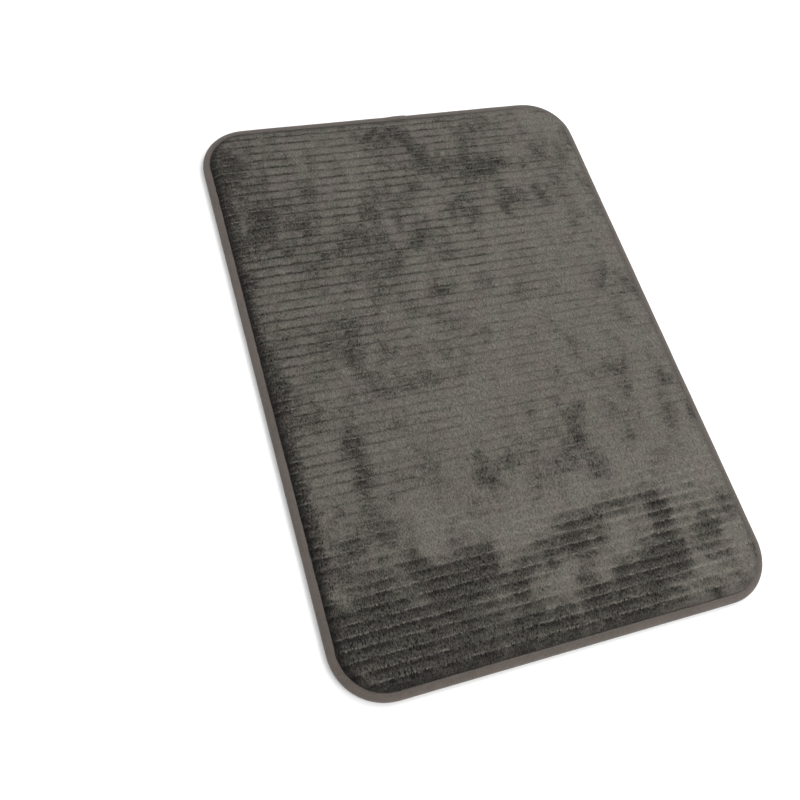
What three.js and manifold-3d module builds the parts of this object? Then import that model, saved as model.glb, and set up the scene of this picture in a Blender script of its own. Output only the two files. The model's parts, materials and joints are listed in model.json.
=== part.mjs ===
// A bath mat: a slab of memory foam between a ribbed fleece cover and a cloth backing with a grip coat.
// The layers are pressed thin round the rim, overlocked, and bound with a tape folded over the edge.
// Millimetres, +Z up. The origin is on the floor under the middle of the mat, and the ribs run along X.
import * as THREE from 'three';
import { mergeVertices } from 'three/addons/utils/BufferGeometryUtils.js';
import Module from 'manifold-3d';

// The outline of the finished mat, seen from above
const WIDTH = 432;
const LENGTH = 610;
const CORNER_RADIUS = 50;
const CORNER_STEPS = 9;

// The layers in the middle of the mat, and how far the grip coat stands below the sewing on the underside
const STUD_STANDOFF = 0.05;
const BACKING_THICKNESS = 0.6;
const FOAM_THICKNESS = 6.5;
const COVER_THICKNESS = 4.5;

// The foam and the cover as they are pressed inside the binding, and the width of the rounded shoulder
const PRESSED_FOAM = 2.4;
const PRESSED_COVER = 2.2;
const SHOULDER_WIDTH = 8;
const SHOULDER_STEPS = 6;

// The cover's ribs and the grooves between them
const RIB_PITCH = 10.2;
const GROOVE_WIDTH = 1.8;
const GROOVE_DEPTH = 1.6;

// The binding tape, folded over the rim, and the doubled stretch where its end is turned under
const TAPE_THICKNESS = 0.9;
const TAPE_ABOVE = 7.5;
const TAPE_BELOW = 9;
const TAPE_BEND = 2.2;
const BEND_STEPS = 4;
const TAPE_END_X = 22;
const TURNED_UNDER = 15;
const TURN_RISE = 0.8;
const TURN_RAMP = 3;

// Sewing threads
const THREAD_WIDTH = 0.5;
const THREAD_HEIGHT = 0.35;
const STITCH_INSET = 6.4;
const OVERLOCK_THREAD = 0.4;

// The care label sewn in under the right-hand long side
const LABEL_LENGTH = 36;
const LABEL_REACH = 28;
const LABEL_THICKNESS = 0.3;
const LABEL_FROM_CORNER = 47;

// The clearance between pieces that touch, and how far a cutter runs past what it cuts
const GAP = 0.3;
const OVERRUN = 2;

// The middle of the label, set from the start of the front corner so that it stays clear of the curve
const labelY = LABEL_FROM_CORNER + LABEL_LENGTH / 2 + CORNER_RADIUS - LENGTH / 2;

// Levels above the floor
const tapeBottom = STUD_STANDOFF + THREAD_HEIGHT + GAP;
const coatThickness = tapeBottom + TAPE_THICKNESS;
const backingBase = coatThickness + GAP;
const foamBase = backingBase + BACKING_THICKNESS + GAP;
const foamTop = foamBase + FOAM_THICKNESS;
const foamRim = foamBase + PRESSED_FOAM;
const coverBase = foamTop + GAP;
const coverTop = coverBase + COVER_THICKNESS;
const coverRimBase = foamRim + GAP;
const coverRimTop = coverRimBase + PRESSED_COVER;
const tapeTop = coverRimTop + GAP + TAPE_THICKNESS;

// Distances in from the outline
const overlockInset = TAPE_THICKNESS + GAP;
const stackInset = overlockInset + OVERLOCK_THREAD + GAP;
const ditchInset = TAPE_ABOVE + GAP;
const crownInset = ditchInset + SHOULDER_WIDTH;
const coatInset = TAPE_BELOW + GAP;

const wasm = await Module();
wasm.setup();

// A three.js geometry as a manifold solid, and back
function solidOf(geometry) {
  const bare = geometry.clone();
  bare.deleteAttribute('normal');
  bare.deleteAttribute('uv');
  const merged = mergeVertices(bare, 1e-4);
  return new wasm.Manifold(new wasm.Mesh({
    numProp: 3,
    vertProperties: new Float32Array(merged.attributes.position.array),
    triVerts: new Uint32Array(merged.index.array),
  }));
}

function geometryOf(solid) {
  const mesh = solid.getMesh();
  const geometry = new THREE.BufferGeometry();
  geometry.setAttribute('position', new THREE.BufferAttribute(mesh.vertProperties, 3));
  geometry.setIndex(new THREE.BufferAttribute(mesh.triVerts, 1));
  geometry.computeVertexNormals();
  return geometry;
}

// The mat's outline drawn in by an inset, as a shape
function outline(inset) {
  const x = WIDTH / 2 - CORNER_RADIUS;
  const y = LENGTH / 2 - CORNER_RADIUS;
  const shape = new THREE.Shape();
  [[x, y], [-x, y], [-x, -y], [x, -y]].forEach(([cx, cy], i) => {
    const from = i * Math.PI / 2;
    shape.absarc(cx, cy, CORNER_RADIUS - inset, from, from + Math.PI / 2, false);
  });
  return shape;
}

// A flat layer of the mat's outline between two levels, whole or as a ring of a given width
function layer(inset, base, thickness, ringWidth = 0) {
  const shape = outline(inset);
  if (ringWidth > 0) shape.holes.push(outline(inset + ringWidth));
  const settings = { depth: thickness, bevelEnabled: false, curveSegments: CORNER_STEPS };
  return new THREE.ExtrudeGeometry(shape, settings).translate(0, 0, base);
}

// Places round the rim. Each has the centre that its insets are measured towards, and the direction out.
// They start on the back edge just past the tape's end, run clockwise and come back to the tape's end.
function rimStations() {
  const x = WIDTH / 2 - CORNER_RADIUS;
  const y = LENGTH / 2 - CORNER_RADIUS;
  const stations = [{ cx: TAPE_END_X + GAP / 2, cy: y, turn: Math.PI / 2, doubled: 0 }];
  [[x, y], [x, -y], [-x, -y], [-x, y]].forEach(([cx, cy], i) => {
    for (let k = 0; k <= CORNER_STEPS; k++) {
      const turn = Math.PI / 2 * (1 - i - k / CORNER_STEPS);
      stations.push({ cx, cy, turn, doubled: 0 });
    }
  });
  const end = TAPE_END_X - GAP / 2;
  stations.push({ cx: end - TURNED_UNDER - TURN_RAMP, cy: y, turn: Math.PI / 2, doubled: 0 });
  stations.push({ cx: end - TURNED_UNDER, cy: y, turn: Math.PI / 2, doubled: TURN_RISE });
  stations.push({ cx: end, cy: y, turn: Math.PI / 2, doubled: TURN_RISE });
  return stations;
}

// A strip swept round the rim: section(doubled) gives its outline as [inset, level] pairs, anticlockwise
// when the inset is drawn to the right. A closed strip joins its last station to its first.
function rimStrip(stations, section, closed) {
  const points = [];
  for (const { cx, cy, turn, doubled } of stations) {
    for (const [inset, level] of section(doubled)) {
      const reach = CORNER_RADIUS - inset;
      points.push(cx + reach * Math.cos(turn), cy + reach * Math.sin(turn), level);
    }
  }
  const sides = section(0).length;
  const index = [];
  const spans = closed ? stations.length : stations.length - 1;
  for (let i = 0; i < spans; i++) {
    const here = i * sides;
    const next = ((i + 1) % stations.length) * sides;
    for (let j = 0; j < sides; j++) {
      const k = (j + 1) % sides;
      index.push(here + j, next + k, here + k, here + j, next + j, next + k);
    }
  }
  if (!closed) {
    const flat = section(0).map(([inset, level]) => new THREE.Vector2(inset, level));
    const last = (stations.length - 1) * sides;
    for (const [a, b, c] of THREE.ShapeUtils.triangulateShape(flat, [])) {
      index.push(a, b, c, last + c, last + b, last + a);
    }
  }
  return indexed(points, index);
}

// A solid of the mat's outline whose side follows a profile of [inset, level] pairs from top to bottom
function rimmedSlab(profile) {
  const rings = profile.map(([inset, level]) => {
    const ring = outline(inset).getPoints(CORNER_STEPS).slice(0, -1);
    return ring.filter((p, i) => i === 0 || p.distanceTo(ring[i - 1]) > 1e-6)
      .map((p) => new THREE.Vector3(p.x, p.y, level));
  });
  const sides = rings[0].length;
  const points = rings.flat().flatMap((p) => p.toArray());
  const index = [];
  for (let i = 0; i < rings.length - 1; i++) {
    for (let j = 0; j < sides; j++) {
      const k = (j + 1) % sides;
      const upper = i * sides;
      const lower = upper + sides;
      index.push(upper + j, lower + j, lower + k, upper + j, lower + k, upper + k);
    }
  }
  const lid = THREE.ShapeUtils.triangulateShape(rings[0].map((p) => new THREE.Vector2(p.x, p.y)), []);
  const bottom = (rings.length - 1) * sides;
  for (const [a, b, c] of lid) index.push(a, b, c, bottom + c, bottom + b, bottom + a);
  return indexed(points, index);
}

function indexed(points, index) {
  const geometry = new THREE.BufferGeometry();
  geometry.setAttribute('position', new THREE.Float32BufferAttribute(points, 3));
  geometry.setIndex(index);
  geometry.computeVertexNormals();
  return geometry;
}

// A quarter of an ellipse that rises from the ditch to the crown, as [inset, level] pairs
function shoulder(startInset, endInset, low, high) {
  const reach = endInset - startInset;
  const curve = new THREE.EllipseCurve(endInset, low, reach, high - low, Math.PI, Math.PI / 2, true);
  return curve.getPoints(SHOULDER_STEPS).map((p) => [p.x, p.y]);
}

function backingCloth() {
  return layer(stackInset, backingBase, BACKING_THICKNESS);
}

function foamCore() {
  const rise = shoulder(ditchInset, crownInset, foamRim, foamTop);
  return rimmedSlab([...rise.reverse(), [stackInset, foamRim], [stackInset, foamBase]]);
}

function pileCover() {
  const outside = shoulder(ditchInset, crownInset, coverRimTop, coverTop);
  const inside = shoulder(ditchInset - GAP, crownInset, coverRimBase, coverBase);
  const shell = rimmedSlab([
    ...outside.reverse(), [stackInset, coverRimTop], [stackInset, coverRimBase], ...inside,
  ]);
  return geometryOf(solidOf(shell).subtract(solidOf(grooveCutter())));
}

// A comb whose teeth cut a groove on each side of every rib, across the whole width
function grooveCutter() {
  const ribs = Math.round((LENGTH - 2 * ditchInset) / RIB_PITCH);
  const first = -ribs / 2 * RIB_PITCH;
  const comb = new THREE.Shape();
  comb.moveTo(first - RIB_PITCH, coverTop + OVERRUN);
  comb.lineTo(first - RIB_PITCH, coverTop + GAP);
  for (let i = 0; i <= ribs; i++) {
    const y = first + i * RIB_PITCH;
    comb.lineTo(y - GROOVE_WIDTH / 2, coverTop + GAP);
    comb.lineTo(y, coverTop - GROOVE_DEPTH);
    comb.lineTo(y + GROOVE_WIDTH / 2, coverTop + GAP);
  }
  comb.lineTo(-first + RIB_PITCH, coverTop + GAP);
  comb.lineTo(-first + RIB_PITCH, coverTop + OVERRUN);
  const cutter = new THREE.ExtrudeGeometry(comb, { depth: WIDTH, bevelEnabled: false });
  return cutter.translate(0, 0, -WIDTH / 2).rotateX(Math.PI / 2).rotateZ(Math.PI / 2);
}

// The tape's C-shaped section. Its outside face moves out where the end is doubled, and its inside stays.
function tapeSection(doubled) {
  const bend = Math.min(TAPE_BEND, (tapeTop - tapeBottom) / 2);
  const face = (offset, radius, above, below) => {
    const top = tapeTop - TAPE_THICKNESS + offset;
    const bottom = tapeBottom + TAPE_THICKNESS - Math.min(offset, TAPE_THICKNESS);
    const wall = TAPE_THICKNESS - offset;
    const points = [[above, top]];
    for (let i = 0; i <= BEND_STEPS; i++) {
      const angle = Math.PI / 2 * (1 + i / BEND_STEPS);
      points.push([wall + radius * (1 + Math.cos(angle)), top - radius * (1 - Math.sin(angle))]);
    }
    for (let i = 0; i <= BEND_STEPS; i++) {
      const angle = Math.PI * (1 + i / (2 * BEND_STEPS));
      points.push([wall + radius * (1 + Math.cos(angle)), bottom + radius * (1 + Math.sin(angle))]);
    }
    points.push([below, bottom]);
    return points;
  };
  const outside = face(TAPE_THICKNESS + doubled, bend, TAPE_ABOVE, TAPE_BELOW);
  const inside = face(0, bend - TAPE_THICKNESS, TAPE_ABOVE, TAPE_BELOW);
  return [...outside, ...inside.reverse()];
}

function edgeBinding(rim) {
  return rimStrip(rim, tapeSection, false);
}

// A thread laid along the row of stitches, with its lower face at a level
function threadSection(level) {
  return [
    [STITCH_INSET, level + THREAD_HEIGHT], [STITCH_INSET, level],
    [STITCH_INSET + THREAD_WIDTH, level], [STITCH_INSET + THREAD_WIDTH, level + THREAD_HEIGHT],
  ];
}

function needleThread(rim) {
  return rimStrip(rim, (doubled) => threadSection(tapeTop + doubled + GAP), true);
}

function bobbinThread(rim) {
  return rimStrip(rim, () => threadSection(STUD_STANDOFF), true);
}

// The band of thread round the edge of the stack, clear of the tape's bends
function overlockThread() {
  const height = coverRimTop - foamBase - TAPE_BEND / 2;
  return layer(overlockInset, foamBase, height, OVERLOCK_THREAD);
}

function gripCoat() {
  const coat = layer(coatInset, 0, coatThickness);
  const window = new THREE.BoxGeometry(LABEL_REACH + 2 * GAP, LABEL_LENGTH + 2 * GAP, coatThickness * 3);
  window.translate(WIDTH / 2 - coatInset - LABEL_REACH / 2, labelY, 0);
  return geometryOf(solidOf(coat).subtract(solidOf(window)));
}

function careLabel() {
  const label = new THREE.BoxGeometry(LABEL_REACH, LABEL_LENGTH, LABEL_THICKNESS);
  const x = WIDTH / 2 - coatInset - LABEL_REACH / 2;
  return label.translate(x, labelY, coatThickness - LABEL_THICKNESS / 2);
}

function piece(name, geometry, color, roughness) {
  const material = new THREE.MeshStandardMaterial({ color, roughness, metalness: 0 });
  const mesh = new THREE.Mesh(geometry, material);
  mesh.name = name;
  return mesh;
}

const rim = rimStations();
const mat = new THREE.Group();
mat.name = 'bath_mat';
mat.add(
  piece('grip_coat', gripCoat(), '#3f3f3d', 0.6),
  piece('backing_cloth', backingCloth(), '#4b4947', 0.9),
  piece('foam_core', foamCore(), '#e6dcae', 0.95),
  piece('pile_cover', pileCover(), '#5c5b57', 0.9),
  piece('overlock_thread', overlockThread(), '#57524f', 0.8),
  piece('edge_binding', edgeBinding(rim), '#6b6360', 0.85),
  piece('needle_thread', needleThread(rim), '#625b58', 0.6),
  piece('bobbin_thread', bobbinThread(rim), '#625b58', 0.6),
  piece('care_label', careLabel(), '#e9e7e2', 0.5),
);

export default mat;
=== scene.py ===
# %% [markdown]
# # A bath mat with a ribbed fleece top
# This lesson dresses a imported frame, in which every layer of the mat has its true size and place. The
# plain solids of the frame are replaced one by one with cloth, foam, tape and thread, and each piece gets
# a finish made of shader nodes. Everything is in metres, with +Z up and the ribs along X.

# %% Load the frame
import json
import math

import bmesh
import bpy
from mathutils import Matrix, Vector, noise
from mathutils.bvhtree import BVHTree

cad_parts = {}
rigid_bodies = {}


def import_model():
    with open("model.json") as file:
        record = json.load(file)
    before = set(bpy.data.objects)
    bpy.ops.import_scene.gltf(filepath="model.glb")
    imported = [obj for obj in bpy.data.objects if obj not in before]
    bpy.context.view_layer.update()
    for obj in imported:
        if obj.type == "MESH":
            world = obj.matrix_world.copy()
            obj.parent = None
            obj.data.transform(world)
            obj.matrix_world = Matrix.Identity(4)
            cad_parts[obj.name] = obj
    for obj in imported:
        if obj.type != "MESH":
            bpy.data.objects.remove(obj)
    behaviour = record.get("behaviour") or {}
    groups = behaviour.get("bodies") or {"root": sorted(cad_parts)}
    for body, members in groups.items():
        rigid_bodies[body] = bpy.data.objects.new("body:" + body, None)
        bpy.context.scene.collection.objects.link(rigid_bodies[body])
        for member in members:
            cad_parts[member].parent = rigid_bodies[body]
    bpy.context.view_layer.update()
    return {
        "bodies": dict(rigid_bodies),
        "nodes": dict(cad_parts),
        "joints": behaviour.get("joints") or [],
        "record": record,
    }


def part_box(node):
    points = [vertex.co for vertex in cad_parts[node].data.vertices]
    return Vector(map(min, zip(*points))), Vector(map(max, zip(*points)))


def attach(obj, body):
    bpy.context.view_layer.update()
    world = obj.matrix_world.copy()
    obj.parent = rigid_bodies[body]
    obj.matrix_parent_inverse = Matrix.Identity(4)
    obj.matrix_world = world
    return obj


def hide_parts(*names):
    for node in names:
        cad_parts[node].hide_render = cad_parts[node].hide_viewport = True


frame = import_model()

print("frame:", sorted(frame["nodes"]))

# %% [markdown]
# ## Sizes
# The layers' levels and the outline come from the frame's boxes, so the looks follow the frame. What a box
# can't say, such as the radius of a corner or the pitch of the ribs, is named here in millimetres.

# %% Read the levels and name the sizes
MM = 0.001
HALF_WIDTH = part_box("edge_binding")[1].x
HALF_LENGTH = -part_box("edge_binding")[0].y
CORNER = 50 * MM
TAPE_EDGE = 7.5 * MM
SHOULDER = 8 * MM
RIB_PITCH = 10.2 * MM
JOIN_X = 22 * MM
LAYER_ROOM = 0.3 * MM
PRESSED_FOAM_THICKNESS = 2.4 * MM
PRESSED_COVER_THICKNESS = 2.2 * MM
TAPE_OVER_COVER = 1.2 * MM

STACK_INSET = HALF_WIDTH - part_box("pile_cover")[1].x
DITCH_INSET = TAPE_EDGE + LAYER_ROOM
COAT_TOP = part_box("grip_coat")[1].z
BACKING_LOW, BACKING_TOP = (corner.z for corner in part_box("backing_cloth"))
FOAM_LOW, FOAM_TOP = (corner.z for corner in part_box("foam_core"))
COVER_LOW, COVER_TOP = (corner.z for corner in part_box("pile_cover"))
PRESSED_FOAM = FOAM_LOW + PRESSED_FOAM_THICKNESS
PRESSED_TOP = COVER_LOW + PRESSED_COVER_THICKNESS
TAPE_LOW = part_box("edge_binding")[0].z
TAPE_TOP = PRESSED_TOP + TAPE_OVER_COVER
print(f"mat {2000 * HALF_WIDTH:.0f} x {2000 * HALF_LENGTH:.0f} mm, {1000 * COVER_TOP:.1f} mm thick")

# %% [markdown]
# ## The camera
# The mat is seen from its front left corner, from well above, with the camera turned a little about its own
# axis. A camera can be aimed with a constraint, but then the turn is hard to set. Here its three axes are
# worked out from the azimuth, elevation and turn, and set as a matrix.

# %% Aim the camera
def aim_camera(azimuth, elevation, turn, target, distance, lens):
    a, e = math.radians(azimuth), math.radians(elevation)
    back = Vector((math.sin(a) * math.cos(e), -math.cos(a) * math.cos(e), math.sin(e)))
    right = (-back).cross(Vector((0, 0, 1))).normalized()
    roll = Matrix.Rotation(math.radians(turn), 3, back)
    right, up = roll @ right, roll @ back.cross(right)
    camera = bpy.data.objects.new("camera", bpy.data.cameras.new("camera"))
    camera.data.lens = lens
    camera.data.sensor_width = 36
    axes = Matrix((right, up, back)).transposed()
    camera.matrix_world = Matrix.Translation(target + back * distance) @ axes.to_4x4()
    bpy.context.scene.collection.objects.link(camera)
    bpy.context.scene.camera = camera


aim_camera(azimuth=-37.23, elevation=61.84, turn=23.07, target=Vector((-0.0849, -0.0377, 0)),
           distance=0.8659, lens=40.22)
print("camera aimed")

# %% [markdown]
# ## Small tools
# Every piece is a bmesh that becomes an object at the origin. One helper does that, puts the piece on the
# frame's body and names the material slot that it takes its finish from.

# %% Turn a bmesh into a piece
def make_piece(name, bm, finish, hides=()):
    mesh = bpy.data.meshes.new(name)
    bm.to_mesh(mesh)
    bm.free()
    for face in mesh.polygons:
        face.use_smooth = True
    piece = bpy.data.objects.new(name, mesh)
    bpy.context.scene.collection.objects.link(piece)
    mesh.materials.append(finish)
    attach(piece, "root")
    if hides:
        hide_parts(*hides)
    print(f"{name}: {len(mesh.polygons)} faces")
    return piece


def add_modifier(piece, kind, **settings):
    modifier = piece.modifiers.new(kind.lower(), kind)
    for key, value in settings.items():
        setattr(modifier, key, value)
    return modifier


# %% [markdown]
# ## The outline
# A rounded rectangle has one useful number for each point: how far the point lies inside the outline. The
# heights of every layer depend on it, because the layers are thick in the middle and pressed at the rim.
# `inset_at` gives that number with the direction out, and `reach_at` gives the half width of a row.

# %% Measure from the outline
def inset_at(x, y):
    beyond_x = abs(x) - (HALF_WIDTH - CORNER)
    beyond_y = abs(y) - (HALF_LENGTH - CORNER)
    out_x, out_y = math.copysign(1, x), math.copysign(1, y)
    if beyond_x > 0 and beyond_y > 0:
        reach = math.hypot(beyond_x, beyond_y)
        return CORNER - reach, Vector((out_x * beyond_x / reach, out_y * beyond_y / reach, 0))
    if beyond_x > beyond_y:
        return CORNER - beyond_x, Vector((out_x, 0, 0))
    return CORNER - beyond_y, Vector((0, out_y, 0))


def reach_at(inset, y):
    """The half width, at y, of the outline drawn in by an inset."""
    end = HALF_LENGTH - abs(y)
    if end >= CORNER:
        return HALF_WIDTH - inset
    if inset < end:
        return HALF_WIDTH - CORNER + math.sqrt((CORNER - inset) ** 2 - (CORNER - end) ** 2)
    return (HALF_WIDTH - CORNER) * (HALF_WIDTH - inset) / (HALF_WIDTH - end)


def smooth(low, high, value):
    """0 at low, 1 at high, and an S-shaped slope between, which falls where high is the smaller."""
    t = min(max((value - low) / (high - low), 0), 1)
    return t * t * (3 - 2 * t)


def wave(x, y, size, seed=0.0):
    """Smooth noise from -1 to 1, whose waves are about as long as size."""
    return noise.noise(Vector((x / size, y / size, seed)))


# %% [markdown]
# ## A sheet cut to the outline
# Blender's grid is square, and the mat is not. Each row of a grid is laid at its own y and each column is
# bent to follow the outline at its own inset, so the rows stay straight for the ribs and the columns stay
# true to the rounded corners. Rows and columns can stand close together where the shape needs it.

# %% Lay a grid on the outline
PLAIN_SPACING = 8 * MM
def column_insets(outer, steps):
    """Insets from the left side to the middle, close together on the shoulder."""
    insets = [outer, 0.55 * TAPE_EDGE, 0.85 * TAPE_EDGE]
    for i in range(steps + 1):
        insets.append(DITCH_INSET + SHOULDER * (1 - math.cos(math.pi / 2 * i / steps)))
    return insets


def fill(start, end, spacing):
    count = max(1, round(abs(end - start) / spacing))
    return [start + (end - start) * i / count for i in range(1, count + 1)]


def outline_grid(columns, rows):
    """A grid whose columns lie at insets, the right half mirrored, and whose rows lie at y."""
    bm = bmesh.new()
    across, along = 2 * len(columns) - 1, len(rows)
    bmesh.ops.create_grid(bm, x_segments=across - 1, y_segments=along - 1, size=1)
    for vertex in bm.verts:
        i = round((vertex.co.x + 1) / 2 * (across - 1))
        j = round((vertex.co.y + 1) / 2 * (along - 1))
        left = i < len(columns)
        inset = columns[i if left else across - 1 - i]
        reach = reach_at(inset, rows[j])
        vertex.co = Vector((-reach if left else reach, rows[j], 0))
    return bm


# %% [markdown]
# ## Shader arithmetic
# A procedural finish is arithmetic on patterns. The `Value` class wraps a socket, so that `1 - mask * 2`
# adds the Math nodes that do it, and `Finish` makes any other node in one call.

# %% Wrap sockets as values
class Value:
    def __init__(self, finish, socket):
        self.finish, self.socket = finish, socket

    def math(self, operation, *others):
        return self.finish.node("ShaderNodeMath", {"operation": operation}, dict(enumerate((self, *others))))

    def __add__(self, other):
        return self.math("ADD", other)

    def __sub__(self, other):
        return self.math("SUBTRACT", other)

    def __rsub__(self, other):
        return self.finish.node("ShaderNodeMath", {"operation": "SUBTRACT"}, {0: other, 1: self})

    def __mul__(self, other):
        return self.math("MULTIPLY", other)

    __radd__, __rmul__ = __add__, __mul__

    def ramp(self, low, high):
        """0 below low, 1 above high and smooth between."""
        sockets = {"Value": self, "From Min": low, "From Max": high}
        return self.finish.node("ShaderNodeMapRange", {"interpolation_type": "SMOOTHSTEP"}, sockets)


# %% Build finishes from nodes
class Finish:
    def __init__(self, name, roughness=0.8, **shader):
        self.material = bpy.data.materials.new(name)
        self.material.use_nodes = True
        self.tree = self.material.node_tree
        self.shader = self.tree.nodes["Principled BSDF"]
        self.shader.inputs["Roughness"].default_value = roughness
        for key, value in shader.items():
            self.shader.inputs[key.replace("_", " ")].default_value = value

    def node(self, kind, settings=None, sockets=None, output=0):
        node = self.tree.nodes.new(kind)
        for key, value in (settings or {}).items():
            setattr(node, key, value)
        for key, value in (sockets or {}).items():
            self.feed(node.inputs[key], value)
        return Value(self, node.outputs[output])

    def feed(self, socket, value):
        if isinstance(value, Value):
            self.tree.links.new(value.socket, socket)
        else:
            socket.default_value = value

    def place(self, stretch=(1, 1, 1)):
        """Object coordinates in metres, each multiplied by its stretch."""
        where = self.node("ShaderNodeTexCoord", output="Object")
        return self.node("ShaderNodeMapping", {}, {"Vector": where, "Scale": stretch})

    def noise(self, size, stretch=(1, 1, 1), detail=2.0, rough=0.5, twist=0.0):
        """Noise from 0 to 1 with blobs about as large as size, in metres."""
        sockets = {"Vector": self.place(stretch), "Scale": 1 / size, "Detail": detail,
                   "Roughness": rough, "Distortion": twist}
        return self.node("ShaderNodeTexNoise", {}, sockets)

    def painted(self, name):
        return self.node("ShaderNodeAttribute", {"attribute_name": name}, output="Fac")

    def mix(self, factor, first, second):
        settings = {"data_type": "RGBA", "clamp_factor": True}
        return self.node("ShaderNodeMix", settings, {0: factor, 6: first, 7: second}, output=2)

    def shade(self, color, amount):
        """A colour multiplied by a value."""
        settings = {"data_type": "RGBA", "blend_type": "MULTIPLY"}
        grey = self.node("ShaderNodeCombineColor", {}, {0: amount, 1: amount, 2: amount})
        return self.node("ShaderNodeMix", settings, {0: 1.0, 6: color, 7: grey}, output=2)

    def finish(self, color, height=None, depth=0.0, roughness=None):
        """Feeds the shader, with the height, in units of depth metres, as a bump."""
        self.feed(self.shader.inputs["Base Color"], color)
        if roughness is not None:
            self.feed(self.shader.inputs["Roughness"], roughness)
        if height is not None:
            sockets = {"Height": height, "Distance": depth, "Strength": 1.0}
            self.feed(self.shader.inputs["Normal"], self.node("ShaderNodeBump", {}, sockets))
        return self.material


# %% Pick colours
def rgb(red, green, blue):
    """A colour picked on a screen, from 0 to 255, as the shader's linear one."""
    linear = [((c / 255 + 0.055) / 1.055) ** 2.4 if c > 10 else c / 255 / 12.92 for c in (red, green, blue)]
    return (*linear, 1.0)


# %% [markdown]
# ## Where the ribs lie
# The cover is cut so that its ribs are even about the middle. Both the mesh and the finish need to know
# where the first groove is, so the count is worked out once here.

# %% Count the ribs
RIBS = round(2 * (HALF_LENGTH - DITCH_INSET) / RIB_PITCH)
FIRST_GROOVE = -RIBS / 2 * RIB_PITCH
print(f"{RIBS} ribs, {1000 * RIB_PITCH:.1f} mm apart")

# %% [markdown]
# ## The fleece finish
# Cut-pile fleece looks light where its fibres lean towards the lamp and dark where the eye sees down into
# them, so a brushed mat shows marks like fingerprints. How far the pile is brushed is painted on the mesh
# as an attribute called nap, and the light and dark that it gives are painted into the colour as painted
# sheen and painted shade. Tufts and fibres are noise, drawn out across the ribs, and they also break up
# the edges of the marks. Each rib is toned by its place across: light pile shows painted shade on the part
# line between two ribs and a slight painted shade on the far half, and in dark pile a painted highlight on
# the tips of the far edge stands above a band of painted shade. A second attribute, part, says how dark the
# painted shade on the part lines is, or, below 0, how much lighter than the pile they are painted, and a
# third, ditch, paints shade on the wall of pile beside the tape.

# %% Make the fleece finish
FLEECE_COLOR, FLEECE_TINT = rgb(90, 88, 81), rgb(91, 86, 81)


def rib_place(look, tuft):
    """Where a point lies across its rib: 0 at the near part line and 1 at the far one, a little ragged."""
    y = look.node("ShaderNodeSeparateXYZ", {}, {0: look.place()}, output="Y")
    ragged = y + (look.noise(14 * MM) - 0.5) * (2.5 * MM) + (tuft - 0.5) * (3.5 * MM)
    return ((ragged - FIRST_GROOVE) * (1 / RIB_PITCH)).math("FRACT")


def rib_tone(look, across, nap, part):
    """How light the pile is, from its place across the rib and how far it is brushed, with painted shade and
    highlights.
    """
    broken = look.noise(9 * MM, stretch=(0.8, 1.5, 1), detail=2).ramp(0.38, 0.58)
    line = (across - 0.5).math("ABSOLUTE").ramp(0.28, 0.48)
    # Light pile: painted shade on the part line and a slight painted shade on the far half of the rib, both
    # turned to painted highlight where part is below 0.
    lit = 1 - (line * (0.08 + broken * 0.4) + across.ramp(0.45, 0.95) * 0.1) * part
    # Dark pile: a band of painted shade, and a painted highlight on the tips of the far edge.
    band_shade = across.ramp(0.2, 0.6) * (1 - across.ramp(0.72, 0.86))
    tip_highlight = across.ramp(0.76, 0.88) * (1 - across.ramp(0.93, 1.0))
    shaded = 0.37 - band_shade * (0.08 + broken * 0.14) + tip_highlight * (0.04 + broken * 0.28)
    return look.node("ShaderNodeMix", {}, {0: nap, 2: lit, 3: shaded})


def fleece_finish():
    look = Finish("ribbed fleece", 0.95, Sheen_Weight=0.06, Sheen_Roughness=0.5, Specular_IOR_Level=0.1)
    tuft = look.noise(2.1 * MM, stretch=(1.1, 0.55, 1), detail=2, rough=0.65)
    fibre = look.noise(1.1 * MM, stretch=(1.2, 0.5, 1), detail=1)
    clump = look.noise(6 * MM, stretch=(0.9, 1.1, 1), detail=2, rough=0.6)
    drift = look.noise(24 * MM, detail=2)
    across, part = rib_place(look, tuft), look.painted("part")
    beside_part = (across - 0.5).math("ABSOLUTE").ramp(0.22, 0.5)
    # Near the part lines the nap rises with part, which paints dashes of shade along the grooves, or lighter
    # painted lines where part is below 0.
    nap = look.painted("nap") + (clump - 0.5) * 0.9 + (tuft - 0.5) * 1.7 + beside_part * part * 0.4
    nap = nap.ramp(0.14, 0.98)
    tone = rib_tone(look, across, nap, part)
    rough = 1 + nap * 1.3
    grain = 1 + ((tuft - 0.5) * 1.4 + (fibre - 0.5) * 1.6) * rough
    # Painted shade on the wall of pile down in the ditch beside the tape.
    ditch_shade = 1 - look.painted("ditch") * (0.3 + tuft * 0.7)
    warm = look.mix(drift.ramp(0.4, 0.6), FLEECE_COLOR, FLEECE_TINT)
    color = look.shade(warm, (tone * grain * ditch_shade).math("MAXIMUM", 0.03))
    return look.finish(color, tuft * 0.6 + fibre * 0.4, 0.9 * MM)
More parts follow.
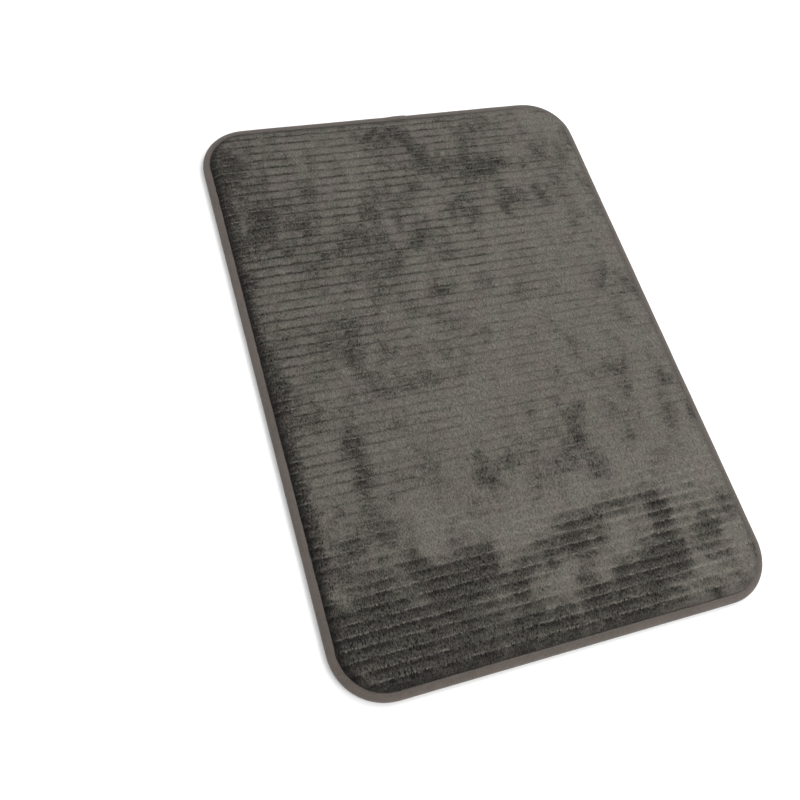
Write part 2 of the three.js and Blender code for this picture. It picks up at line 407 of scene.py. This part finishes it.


# %% [markdown]
# ## Brush marks
# Noise alone makes clouds, and real marks are strokes of a finger, a foot or a cleaning cloth. Each stroke
# is a soft ellipse, given by where it is, its half length and half width, its angle to the ribs, and how
# dark it is, or, below 0, how light. A rib also catches the light on its own, so part of the noise jumps
# from rib to rib, and each part line has a strength of its own that comes and goes.

# %% Place the brush marks
STROKES = (
    (-188, 240, 60, 10, 88, 0.4), (-176, 175, 24, 10, 80, 0.4), (-30, 276, 14, 4, 40, 0.5),
    (14, 252, 40, 10, -68, 0.42), (60, 222, 58, 14, -5, 0.42), (45, 172, 20, 10, 60, 0.45),
    (92, 160, 11, 7, 85, 0.55), (112, 218, 12, 6, -50, 0.55), (-132, 156, 18, 7, 70, 0.4),
    (-35, 118, 38, 10, 35, 0.38), (2, 67, 30, 9, 10, 0.3), (-117, 12, 34, 10, 84, 0.45),
    (-92, -32, 46, 10, 8, 0.45), (12, 12, 16, 5, 15, 0.3), (80, -40, 24, 8, 66, 0.3),
    (168, 55, 24, 7, 58, 0.55), (200, 27, 12, 6, 80, 0.55), (163, -30, 50, 10, 66, 0.38),
    (178, -112, 48, 12, 80, 0.42), (202, -122, 14, 6, 70, 0.5), (-143, -107, 26, 10, 74, 0.5),
    (-26, -134, 34, 10, 20, 0.45), (66, -118, 38, 11, 60, 0.45), (-196, -10, 34, 6, 90, 0.45),
    (-172, -242, 34, 28, 70, 0.5), (-110, -215, 50, 22, -10, 0.55), (-60, -225, 52, 18, 5, 0.5),
    (75, -192, 60, 11, 3, 0.5), (110, -248, 46, 20, 12, 0.55), (60, -268, 66, 18, 4, 0.55),
    (-130, -270, 60, 20, 0, 0.5), (-150, -168, 44, 12, 6, 0.35), (130, -205, 34, 16, 35, 0.45),
    (185, -215, 26, 16, 70, 0.4), (0, -285, 190, 8, 0, 0.4), (-205, -200, 80, 5, 90, 0.5),
    (-100, -182, 26, 14, 75, -0.45), (-28, -205, 52, 13, 42, -0.6), (8, -245, 34, 11, 50, -0.35),
    (62, -236, 34, 11, 35, -0.5), (-165, -262, 18, 9, 10, -0.3), (-190, -284, 22, 12, -30, -0.4),
    (180, -268, 30, 10, 60, -0.2),
    (-30, -60, 80, 40, 15, -0.3), (80, 90, 90, 50, 10, -0.2), (-90, 230, 60, 40, 0, -0.25),
)
print(f"{len(STROKES)} brush marks")


# %% Read the marks at a place
def stroke_at(x, y, stroke):
    middle_x, middle_y, long, wide, angle, tone = stroke
    dx, dy = x - middle_x * MM, y - middle_y * MM
    if abs(dx) + abs(dy) > 3 * (long + wide) * MM:
        return 0.0
    a = math.radians(angle)
    along = (dx * math.cos(a) + dy * math.sin(a)) / (long * MM)
    across = (dy * math.cos(a) - dx * math.sin(a)) / (wide * MM)
    return tone * math.exp(-(along ** 2 + across ** 2) ** 1.3)


def rib_at(y):
    return math.floor((y - FIRST_GROOVE) / RIB_PITCH)


def nap_and_shade_at(x, y):
    """How far the pile is brushed towards the eye: 0 is light and 1 is dark, with painted shade added in."""
    bent_x, bent_y = x + 7 * MM * wave(x, y, 16 * MM, 3), y + 5 * MM * wave(x, y, 16 * MM, 5)
    strokes = sum(stroke_at(bent_x, bent_y, stroke) for stroke in STROKES)
    near_front, near_back = smooth(0.12, 0.2, -y), smooth(0.05, 0.15, y)
    clouds = 0.27 * wave(x, y, 50 * MM, 1) + (0.22 - 0.1 * near_back) * wave(x, y, 20 * MM, 2)
    clouds += 0.15 * wave(x, y, 10 * MM, 4)
    # Painted light and shade that change from rib to rib, as each rib catches the light on its own.
    by_rib = (0.33 + 0.17 * near_front + 0.08 * near_back) * wave(x, rib_at(y) * 7 * MM, 22 * MM, 7)
    by_rib += 0.22 * near_back * wave(x, rib_at(y) * 5 * MM, 9 * MM, 6)
    # Partly the lean of the pile and partly painted shade: darker towards the left, the back and the front.
    lean_and_light_falloff = 0.29 - 0.5 * x + 0.13 * smooth(0.05, 0.2, y) + 0.4 * smooth(0.15, 0.27, -y) * smooth(0.34, 0.04, x)
    # Painted shade along the left edge, which faces away from the lamps.
    left_edge_shade = (1 - smooth(12 * MM, 26 * MM, HALF_WIDTH + x)) * (0.5 + 0.5 * wave(x, y, 30 * MM, 8))
    return lean_and_light_falloff + 0.8 * strokes + clouds + by_rib + left_edge_shade


def part_at(x, y):
    """How dark the painted shade on the part lines is: up to 1 at the back, faint in the middle, and below 0
    at the front, where they get a painted highlight.
    """
    back = 0.47 + 0.53 * smooth(-0.02, 0.13, y) * smooth(0.22, 0.04, x) - 0.15 * smooth(0, 0.15, x)
    left = 0.5 * (1 - smooth(10 * MM, 130 * MM, HALF_WIDTH + x))
    front = 0.95 * smooth(0.11, 0.19, -y)
    own = wave(x, round((y - FIRST_GROOVE) / RIB_PITCH) * 6 * MM, 18 * MM, 10)
    return (back + left - front) * (0.82 + 0.4 * wave(x, y, 35 * MM, 9) + 0.75 * own)


# %% [markdown]
# ## The foam pad
# Under the cover lies a slab of memory foam whose rim is squeezed flat by the sewing. Its sides could be
# drawn by hand, but a pad looks right when it swells by itself. It is made a little too thin, its underside
# and its rim are held, and the Cloth modifier blows up the rest with a skin that is a little too large,
# so that it rises in a soft crown with slight puckers. The result is kept and the modifier is taken off.

# %% Close a slab
def shoulder_level(inset, low, high):
    """A quarter of an ellipse from the ditch up to the crown."""
    u = min(max((inset - DITCH_INSET) / SHOULDER, 0), 1)
    return low + (high - low) * math.sqrt(1 - (1 - u) ** 2)


def closed_slab(top, bottom):
    """Joins two grids of the same outline into one closed piece, the second turned to face down."""
    bmesh.ops.reverse_faces(bottom, faces=bottom.faces)
    spare = bpy.data.meshes.new("spare")
    bottom.to_mesh(spare)
    bottom.free()
    top.from_mesh(spare)
    bpy.data.meshes.remove(spare)
    rim = [edge for edge in top.edges if edge.is_boundary]
    bmesh.ops.bridge_loops(top, edges=rim)
    return top


def plain_grid(outer, level):
    """A coarse grid of the outline, each vertex at the level that a function gives for its inset."""
    columns = column_insets(outer, 5)
    columns += fill(columns[-1], HALF_WIDTH, PLAIN_SPACING)
    ends = [HALF_LENGTH - inset for inset in column_insets(outer, 5)]
    rows = [-y for y in ends] + fill(-ends[-1], ends[-1], PLAIN_SPACING) + ends[-2::-1]
    bm = outline_grid(columns, rows)
    for vertex in bm.verts:
        vertex.co.z = level(inset_at(vertex.co.x, vertex.co.y)[0])
    return bm


# %% Let the pad swell
def swell(piece, is_held, pressure, growth, cap):
    """Blows a closed piece up as cloth, keeps some of it still, and lets no point move further than cap."""
    start = [vertex.co.copy() for vertex in piece.data.vertices]
    held = piece.vertex_groups.new(name="held")
    held.add([i for i, place in enumerate(start) if is_held(place)], 1.0, "REPLACE")
    cloth = piece.modifiers.new("cloth", "CLOTH")
    cloth.settings.use_pressure = True
    cloth.settings.uniform_pressure_force = pressure
    cloth.settings.shrink_min = -growth
    cloth.settings.vertex_group_mass = "held"
    cloth.settings.effector_weights.gravity = 0
    for frame in range(1, 21):
        bpy.context.scene.frame_set(frame)
    swollen = piece.evaluated_get(bpy.context.evaluated_depsgraph_get())
    moves = [vertex.co - place for vertex, place in zip(swollen.data.vertices, start)]
    piece.modifiers.remove(cloth)
    piece.vertex_groups.remove(held)
    bpy.context.scene.frame_set(1)
    for vertex, place, move in zip(piece.data.vertices, start, moves):
        vertex.co = place + move * cap / (cap + move.length)
    rises = sorted((vertex.co.z - place.z) / MM for vertex, place in zip(piece.data.vertices, start))
    quarter, most = rises[3 * len(rises) // 4], rises[-1]
    print(f"{piece.name}: a quarter of its points rise {quarter:.2f} mm or more, the highest {most:.2f} mm")


# %% Make the foam
def foam_finish():
    look = Finish("memory foam", 0.95)
    cells = look.node("ShaderNodeTexVoronoi", {}, {"Vector": look.place(), "Scale": 1 / (1.2 * MM)})
    tone = 0.9 + look.noise(20 * MM) * 0.15 - cells * 0.12
    return look.finish(look.shade(rgb(236, 222, 176), tone), cells, 0.3 * MM)


START_DROP = 0.8 * MM
PRESSURE = 1.0
SKIN_GROWTH = 0.004
LARGEST_MOVE = 1.6 * MM


def thin_level(inset):
    """The pad's upper side before it swells."""
    return shoulder_level(inset, PRESSED_FOAM, FOAM_TOP - START_DROP)


def make_foam():
    top = plain_grid(STACK_INSET, thin_level)
    under = plain_grid(STACK_INSET, lambda inset: FOAM_LOW)
    piece = make_piece("foam_pad", closed_slab(top, under), foam_finish(), ["foam_core"])
    swell(piece, lambda place: place.z < PRESSED_FOAM + 0.1 * MM, PRESSURE, SKIN_GROWTH, LARGEST_MOVE)
    return piece


foam = make_foam()
FOAM_SURFACE = BVHTree.FromPolygons([vertex.co for vertex in foam.data.vertices],
                                    [face.vertices for face in foam.data.polygons])


def foam_rise(x, y, inset):
    """How much higher the swollen pad stands at a place than the shoulder's even curve."""
    hit = FOAM_SURFACE.ray_cast(Vector((x, y, 1)), Vector((0, 0, -1)))[0]
    return hit.z - shoulder_level(inset, PRESSED_FOAM, FOAM_TOP) if hit else 0.0


# %% [markdown]
# ## The ribbed cover
# The cover is one cloth: a knitted ground that carries pile in straight ribs. It could be a flat sheet with
# a bump map, but the grooves would vanish from the side. Here it is a grid with rows gathered at every
# groove, lifted to the crown by the foam under it, pulled down at the rim, and closed by its underside.

# %% Heights of the cover
GROOVE_DEPTH = 1.0 * MM
GROOVE_WIDTH = 0.9 * MM
ROW_STEPS = [step * MM for step in (0, 0.5, 1.1, 2.0, 3.4, 5.1)]
COLUMN_SPACING = 1.9 * MM


def groove_at(y):
    """1 in the bottom of a groove, falling to 0 on the ribs."""
    off = abs((y - FIRST_GROOVE + RIB_PITCH / 2) % RIB_PITCH - RIB_PITCH / 2)
    return math.exp(-(off / GROOVE_WIDTH) ** 1.4)


def rib_rows():
    rows = [sign * (HALF_LENGTH - inset) for inset in column_insets(STACK_INSET, 8) for sign in (-1, 1)]
    for i in range(RIBS + 1):
        middle = FIRST_GROOVE + i * RIB_PITCH
        rows += [middle + sign * step for step in ROW_STEPS for sign in (-1, 1)]
    kept = []
    for y in sorted(y for y in rows if abs(y) <= HALF_LENGTH - STACK_INSET + 1e-6):
        if not kept or y - kept[-1] > 0.2 * MM:
            kept.append(y)
    return kept


def raise_pile(vertex, part):
    """Lifts a flat vertex to the pile's surface, and returns how far down in the ditch it is, for the painted
    shade there.
    """
    x, y = vertex.co.x, vertex.co.y
    inset, out = inset_at(x, y)
    inner = smooth(DITCH_INSET, DITCH_INSET + 4 * MM, inset)
    groove = groove_at(y) * (0.25 + 0.75 * inner) * smooth(0.9 * TAPE_EDGE, DITCH_INSET, inset)
    level = shoulder_level(inset, PRESSED_TOP, COVER_TOP) + foam_rise(x, y, inset)
    parted = 0.35 + 0.65 * min(abs(part), 1)
    level -= GROOVE_DEPTH * groove * parted * (0.9 + 0.6 * wave(x, y, 12 * MM, 11))
    level += inner * (0.45 * wave(x, y, 90 * MM, 12) + 0.3 * wave(x, y, 26 * MM, 13)) * MM
    by_rib, tufts = wave(x, rib_at(y) * 9 * MM, 15 * MM, 14), wave(x, 0.7 * y, 3 * MM, 17)
    level += inner * (0.35 * by_rib + 0.3 * tufts) * MM
    risen = (level - PRESSED_TOP) / (COVER_TOP - PRESSED_TOP)
    bulge = math.sin(math.pi * min(max(risen * 1.3, 0), 1)) * (1 - smooth(0, 7 * MM, inset - DITCH_INSET))
    wander = (0.5 * wave(x, y, 60 * MM, 15) + 0.35 * wave(x, y, 7 * MM, 18)) * MM * inner
    vertex.co = Vector((x, y + wander, level)) + out * bulge * (0.9 + 0.7 * wave(x, y, 6 * MM, 16)) * MM
    # The strength of the painted shade in the ditch, halved towards the right side, which faces the lamps.
    return (1 - smooth(DITCH_INSET + 1 * MM, DITCH_INSET + 8 * MM, inset)) * (1 - 0.5 * smooth(0.02, 0.18, x))


# %% Make the cover
def underside_level(inset):
    return shoulder_level(inset, COVER_LOW, FOAM_TOP + LAYER_ROOM)


def make_cover():
    columns = column_insets(STACK_INSET, 8)
    columns += fill(columns[-1], HALF_WIDTH, COLUMN_SPACING)
    top = outline_grid(columns, rib_rows())
    # nap carries the brushing with its painted sheen and shade, and part and ditch the painted shade and
    # highlights of the part lines and the ditch; part also sets the depth of the grooves.
    nap, part, ditch = (top.verts.layers.float.new(name) for name in ("nap", "part", "ditch"))
    for vertex in top.verts:
        vertex[nap] = nap_and_shade_at(vertex.co.x, vertex.co.y)
        vertex[part] = part_at(vertex.co.x, vertex.co.y)
        vertex[ditch] = raise_pile(vertex, vertex[part])
    under = plain_grid(STACK_INSET, underside_level)
    for vertex in under.verts:
        vertex.co.z += foam_rise(vertex.co.x, vertex.co.y, inset_at(vertex.co.x, vertex.co.y)[0])
    whole = closed_slab(top, under)
    return make_piece("ribbed_cover", whole, fleece_finish(), ["pile_cover"])


cover = make_cover()

# %% [markdown]
# ## The backing cloth
# The underside is a plain woven cloth, glued to the foam and caught in the binding. Its weave is too fine
# to model, so two sets of bands, one along each axis, raise the threads in the bump.

# %% Make the backing
def woven(look, pitch):
    """The height of a plain weave: threads along X and Y that pass over each other by turns."""
    bands = [look.node("ShaderNodeTexWave", {"wave_type": "BANDS", "bands_direction": axis},
                       {"Vector": look.place(), "Scale": 1 / pitch / 3.2, "Distortion": 0.4}, output=1)
             for axis in ("X", "Y")]
    return bands[0].math("MAXIMUM", bands[1])


def backing_finish():
    look = Finish("backing cloth", 0.85, Sheen_Weight=0.1)
    weave = woven(look, 0.8 * MM)
    tone = 0.75 + weave * 0.2 + look.noise(14 * MM) * 0.2
    return look.finish(look.shade(rgb(82, 79, 76), tone), weave, 0.2 * MM)


def make_backing():
    bm = plain_grid(STACK_INSET, lambda inset: BACKING_TOP)
    for vertex in bm.verts:
        vertex.co.z += 0.1 * MM * wave(vertex.co.x, vertex.co.y, 30 * MM, 21) - 0.1 * MM
    piece = make_piece("backing_sheet", bm, backing_finish(), ["backing_cloth"])
    add_modifier(piece, "SOLIDIFY", thickness=0.45 * MM, offset=-1)
    return piece


backing = make_backing()

# %% [markdown]
# ## The grip studs
# What holds the mat on a wet floor is a coat of soft studs, printed on the backing in staggered rows. One
# stud is a low cone with a few sides. It is copied to its places as a small mesh, which is much quicker
# than running an operator once for each of thousands of studs.

# %% Print the studs
STUD_PITCH = 8.5 * MM
STUD_RADIUS = 1.9 * MM
STUD_SIDES = 9
STUD_TIP_SHARE = 0.62
STUD_MARGIN = 13 * MM
LABEL_LOW, LABEL_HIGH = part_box("care_label")


def under_label(x, y):
    margin = STUD_RADIUS + 1.0 * MM
    return x > LABEL_LOW.x - margin and LABEL_LOW.y - margin < y < LABEL_HIGH.y + margin


def make_stud():
    """One stud at the origin, its tip down, as a mesh."""
    bm = bmesh.new()
    height = COAT_TOP - 0.1 * MM
    made = bmesh.ops.create_cone(bm, cap_ends=True, segments=STUD_SIDES, depth=height,
                                 radius1=STUD_TIP_SHARE * STUD_RADIUS, radius2=STUD_RADIUS)
    bmesh.ops.translate(bm, verts=made["verts"], vec=(0, 0, height / 2))
    tip = [edge for edge in bm.edges if all(vertex.co.z < MM * 0.01 for vertex in edge.verts)]
    bmesh.ops.bevel(bm, geom=tip, offset=0.4 * MM, segments=1, profile=0.5, affect="EDGES", material=-1)
    mesh = bpy.data.meshes.new("stud")
    bm.to_mesh(mesh)
    bm.free()
    return mesh


def stamp(bm, mesh, place):
    """Adds a copy of a small mesh at a place given by a matrix."""
    mesh.transform(place)
    bm.from_mesh(mesh)
    mesh.transform(place.inverted())


def grip_finish():
    look = Finish("soft grip studs", 0.5, Specular_IOR_Level=0.4)
    tone = 0.85 + look.noise(3 * MM) * 0.3
    roughness = 0.42 + look.noise(1.5 * MM) * 0.2
    return look.finish(look.shade(rgb(62, 61, 59), tone), look.noise(0.7 * MM), 0.1 * MM, roughness)


def make_studs():
    stud, bm = make_stud(), bmesh.new()
    row_gap = STUD_PITCH * math.sqrt(0.75)
    rows, across = round(HALF_LENGTH / row_gap), round(HALF_WIDTH / STUD_PITCH)
    for j in range(-rows, rows + 1):
        for i in range(-across, across + 1):
            x, y = (i + 0.5 * (j % 2)) * STUD_PITCH, j * row_gap
            if inset_at(x, y)[0] > STUD_MARGIN and not under_label(x, y):
                stamp(bm, stud, Matrix.Translation((x, y, 0)))
    return make_piece("grip_studs", bm, grip_finish(), ["grip_coat"])


studs = make_studs()

# %% [markdown]
# ## The binding tape
# One tape is folded over the pressed rim, sewn through, and its end laps over its start on the back edge.
# A cloth strip that goes round corners is a section swept along a path. The spin operator does both the
# straight sides, as a spin of no angle with a step, and the corners.

# %% Sweep the tape
TAPE_BELOW = 9 * MM
LAP = 15 * MM
LAP_RISE = 0.9 * MM
TOP_BEND = 4.0 * MM
LOW_BEND = 2.4 * MM
TAPE_STEP = 5 * MM
CORNER_STEPS = 14
STITCH_INSET = HALF_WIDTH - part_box("needle_thread")[1].x + 0.25 * MM


def tape_section():
    """The outer face of the tape as (inset, level) pairs, from the ditch over the edge to the underside."""
    low = TAPE_LOW - 0.2 * MM
    points = [(TAPE_EDGE + 0.5 * MM, TAPE_TOP - 1.3 * MM), (TAPE_EDGE, TAPE_TOP - 0.5 * MM),
              (STITCH_INSET, TAPE_TOP - 0.3 * MM), (0.75 * TAPE_EDGE, TAPE_TOP)]
    for i in range(6):
        a = math.pi / 2 * i / 5
        points.append((TOP_BEND * (1 - math.sin(a)), TAPE_TOP - TOP_BEND * (1 - math.cos(a))))
    for i in range(4):
        a = math.pi / 2 * i / 3
        points.append((LOW_BEND * (1 - math.cos(a)), low + LOW_BEND * (1 - math.sin(a))))
    return points + [(0.7 * TAPE_BELOW, low + 0.1 * MM), (TAPE_BELOW, low + 0.3 * MM)]


def sweep_straight(bm, end, direction, length):
    steps = max(1, round(length / TAPE_STEP))
    move = Vector(direction) * length / steps
    made = bmesh.ops.spin(bm, geom=end, angle=0, axis=(0, 0, 1), cent=(0, 0, 0), dvec=move, steps=steps)
    return made["geom_last"]


def sweep_corner(bm, end, middle):
    made = bmesh.ops.spin(bm, geom=end, angle=-math.pi / 2, axis=(0, 0, 1), cent=middle, steps=CORNER_STEPS)
    return made["geom_last"]


def sweep_tape(bm, start_x, section):
    """Sweeps a section clockwise round the outline, from a place on the back edge to its join."""
    chain = [bm.verts.new((start_x, HALF_LENGTH - inset, level)) for inset, level in section]
    end = chain + [bm.edges.new(pair) for pair in zip(chain, chain[1:])]
    side_x, side_y = HALF_WIDTH - CORNER, HALF_LENGTH - CORNER
    legs = (((1, 0, 0), side_x - start_x, (side_x, side_y)), ((0, -1, 0), 2 * side_y, (side_x, -side_y)),
            ((-1, 0, 0), 2 * side_x, (-side_x, -side_y)), ((0, 1, 0), 2 * side_y, (-side_x, side_y)))
    for direction, length, (x, y) in legs:
        end = sweep_straight(bm, end, direction, length)
        end = sweep_corner(bm, end, (x, y, 0))
    before = set(bm.verts)
    sweep_straight(bm, end, (1, 0, 0), side_x + JOIN_X)
    return [vertex for vertex in bm.verts if vertex not in before]


# %% Lap and soften the tape
def lift_lap(vertex, start_x):
    """Moves the last stretch of the tape out, over its first stretch."""
    rise = LAP_RISE * smooth(start_x - 7 * MM, start_x - 1 * MM, vertex.co.x)
    inset = HALF_LENGTH - vertex.co.y
    middle = (TAPE_TOP + TAPE_LOW) / 2
    outward = 1 - smooth(0, TOP_BEND, inset)
    vertex.co.y += rise * outward
    vertex.co.z += rise * (1 - outward) if vertex.co.z > middle else 0


def soften_tape(vertex):
    """The small unevenness of a tape that is guided by hand."""
    x, y = vertex.co.x, vertex.co.y
    inset, out = inset_at(x, y)
    high = smooth(TAPE_LOW, TAPE_TOP, vertex.co.z)
    vertex.co += out * 0.3 * MM * wave(x, y, 50 * MM, 31) * high
    vertex.co.z += high * (0.22 * wave(x, y, 28 * MM, 32) + 0.12 * wave(x, y, 9 * MM, 33)) * MM


# %% Make the tape
def tape_finish():
    look = Finish("binding tape", 0.9, Sheen_Weight=0.15, Sheen_Roughness=0.5)
    weave, brushed = woven(look, 0.7 * MM), look.noise(1.6 * MM, detail=3, rough=0.6)
    worn = look.noise(22 * MM, detail=2).ramp(0.35, 0.65)
    color = look.mix(worn, rgb(90, 81, 75), rgb(85, 77, 71))
    patches = look.noise(6 * MM, detail=2)
    tone = 0.3 + brushed * 0.75 + patches * 0.3 + weave * 0.12
    return look.finish(look.shade(color, tone), weave * 0.4 + brushed, 0.5 * MM)


TAPE = tape_finish()


def make_tape():
    bm = bmesh.new()
    start_x = JOIN_X - LAP
    for vertex in sweep_tape(bm, start_x, tape_section()):
        lift_lap(vertex, start_x)
    for vertex in bm.verts:
        soften_tape(vertex)
    bmesh.ops.recalc_face_normals(bm, faces=bm.faces)
    piece = make_piece("binding_tape", bm, TAPE, ["edge_binding"])
    add_modifier(piece, "SOLIDIFY", thickness=0.6 * MM, offset=-1)
    add_modifier(piece, "SUBSURF", levels=1, render_levels=1)
    return piece


tape = make_tape()

# %% [markdown]
# ## The stitches
# A row of lockstitch holds the tape, with one thread above and one below. Each stitch that shows is a short
# thread, sunk a little in the cloth. It is a stretched sphere of few faces, stamped round the rim at the
# stitch length, and the pile nearly hides the upper row.

# %% Walk round the rim
STITCH_LENGTH = 3.0 * MM
THREAD_WIDTH = 0.5 * MM
THREAD_HEIGHT = 0.4 * MM


def rim_walk(inset, step):
    """Points at even steps round the outline drawn in by an inset, each with its direction of travel."""
    side_x, side_y, radius = HALF_WIDTH - CORNER, HALF_LENGTH - CORNER, CORNER - inset
    legs = []
    for k, (x, y) in enumerate(((side_x, side_y), (-side_x, side_y), (-side_x, -side_y), (side_x, -side_y))):
        turn = k * math.pi / 2
        legs.append((radius * math.pi / 2, (x, y), turn, True))
        legs.append((2 * (side_x if k % 2 == 0 else side_y), (x, y), turn + math.pi / 2, False))
    total = sum(leg[0] for leg in legs)
    count = round(total / step)
    for n in range(count):
        s = total * n / count
        for length, (x, y), turn, bend in legs:
            if s < length:
                break
            s -= length
        a = turn + s / radius if bend else turn
        out = Vector((math.cos(a), math.sin(a), 0))
        ahead = Vector((-out.y, out.x, 0))
        yield Vector((x, y, 0)) + out * radius + ahead * (0 if bend else s), math.atan2(ahead.y, ahead.x)


# %% Sew the rows of stitches
def make_stitch(width, height):
    bm = bmesh.new()
    bmesh.ops.create_uvsphere(bm, u_segments=8, v_segments=5, radius=0.5)
    bmesh.ops.rotate(bm, verts=bm.verts, matrix=Matrix.Rotation(math.pi / 2, 3, "Y"))
    bmesh.ops.scale(bm, verts=bm.verts, vec=(0.86 * STITCH_LENGTH, width, height))
    mesh = bpy.data.meshes.new("stitch")
    bm.to_mesh(mesh)
    bm.free()
    return mesh


def thread_finish():
    look = Finish("sewing thread", 0.65, Sheen_Weight=0.2)
    ply = look.noise(0.5 * MM, stretch=(2, 1, 1))
    return look.finish(look.shade(rgb(98, 90, 86), 0.8 + ply * 0.3), ply, 0.1 * MM)


THREAD = thread_finish()


def sew(name, level, node, lap_rise=0.0):
    bm, stitch = bmesh.new(), make_stitch(THREAD_WIDTH, THREAD_HEIGHT)
    for place, heading in rim_walk(STITCH_INSET, STITCH_LENGTH):
        over = place.y > 0 and JOIN_X - LAP < place.x < JOIN_X
        place.z = level + (lap_rise if over and abs(place.y) > HALF_LENGTH - CORNER else 0)
        stamp(bm, stitch, Matrix.Translation(place) @ Matrix.Rotation(heading, 4, "Z"))
    return make_piece(name, bm, THREAD, [node])


needle = sew("needle_stitches", TAPE_TOP - 0.25 * MM, "needle_thread", LAP_RISE)
bobbin = sew("bobbin_stitches", TAPE_LOW - 0.15 * MM, "bobbin_thread")
for slot in bpy.data.objects["overlock_thread"].material_slots:
    slot.material = THREAD

# %% [markdown]
# ## The care label
# A blank satin ribbon is caught in the underside seam. It is a small sheet that droops a little from the
# seam and curls at its free end. Satin is smooth one way, so its threads only show as fine lines.

# %% Sew in the label
def make_label():
    look = Finish("label satin", 0.4, Sheen_Weight=0.1)
    lines = look.noise(0.6 * MM, stretch=(0.2, 2.5, 1))
    finish = look.finish(look.shade(rgb(236, 234, 228), 0.85 + lines * 0.15), lines, 0.1 * MM)
    bm = bmesh.new()
    length, reach = LABEL_HIGH.y - LABEL_LOW.y, LABEL_HIGH.x - LABEL_LOW.x
    bmesh.ops.create_grid(bm, x_segments=20, y_segments=24, size=0.5)
    for vertex in bm.verts:
        u, v = 0.5 - vertex.co.x, vertex.co.y
        droop = 0.35 * MM * smooth(0.1, 0.9, u) - 0.25 * MM * smooth(0.8, 1, u)
        ripple = 0.08 * MM * math.sin(9 * v + 3 * u)
        vertex.co = Vector((LABEL_HIGH.x - reach * u, (LABEL_LOW.y + LABEL_HIGH.y) / 2 + length * v,
                            LABEL_HIGH.z - droop + ripple * u))
    piece = make_piece("care_label_ribbon", bm, finish, ["care_label"])
    add_modifier(piece, "SOLIDIFY", thickness=0.2 * MM, offset=0)
    return piece


label = make_label()

# %% [markdown]
# ## Floor and light
# The mat lies on a plain white floor. Two large soft lamps hang above its right side, one towards the back
# and one towards the front, so the left and front rims, which face away, stay a little darker. The world
# fills in the rest.

# %% Lay the floor
def plain_finish(name, color, roughness):
    look = Finish(name, roughness)
    look.shader.inputs["Base Color"].default_value = color
    return look.material


bm = bmesh.new()
bmesh.ops.create_grid(bm, x_segments=1, y_segments=1, size=8)
floor_mesh = bpy.data.meshes.new("floor")
bm.to_mesh(floor_mesh)
bm.free()
floor = bpy.data.objects.new("floor", floor_mesh)
floor.data.materials.append(plain_finish("white floor", rgb(250, 250, 250), 0.9))
bpy.context.scene.collection.objects.link(floor)
print("floor laid")


# %% Hang the lamps
def add_lamp(name, place, size, power, aim=(0, 0, 0)):
    data = bpy.data.lights.new(name, "AREA")
    data.shape, data.size, data.energy = "DISK", size, power
    lamp = bpy.data.objects.new(name, data)
    lamp.location = place
    lamp.rotation_mode = "QUATERNION"
    lamp.rotation_quaternion = (Vector(place) - Vector(aim)).to_track_quat("Z", "Y")
    bpy.context.scene.collection.objects.link(lamp)


world = bpy.data.worlds.new("studio")
world.use_nodes = True
world.node_tree.nodes["Background"].inputs["Color"].default_value = (1, 1, 1, 1)
world.node_tree.nodes["Background"].inputs["Strength"].default_value = 0.9
bpy.context.scene.world = world
add_lamp("back light", (1.0, 0.7, 1.6), 1.4, 20)
add_lamp("front fill", (0.7, -1.3, 1.4), 1.2, 14)
bpy.context.scene.view_settings.view_transform = "Standard"
print("lamps:", [lamp.name for lamp in bpy.data.lights])
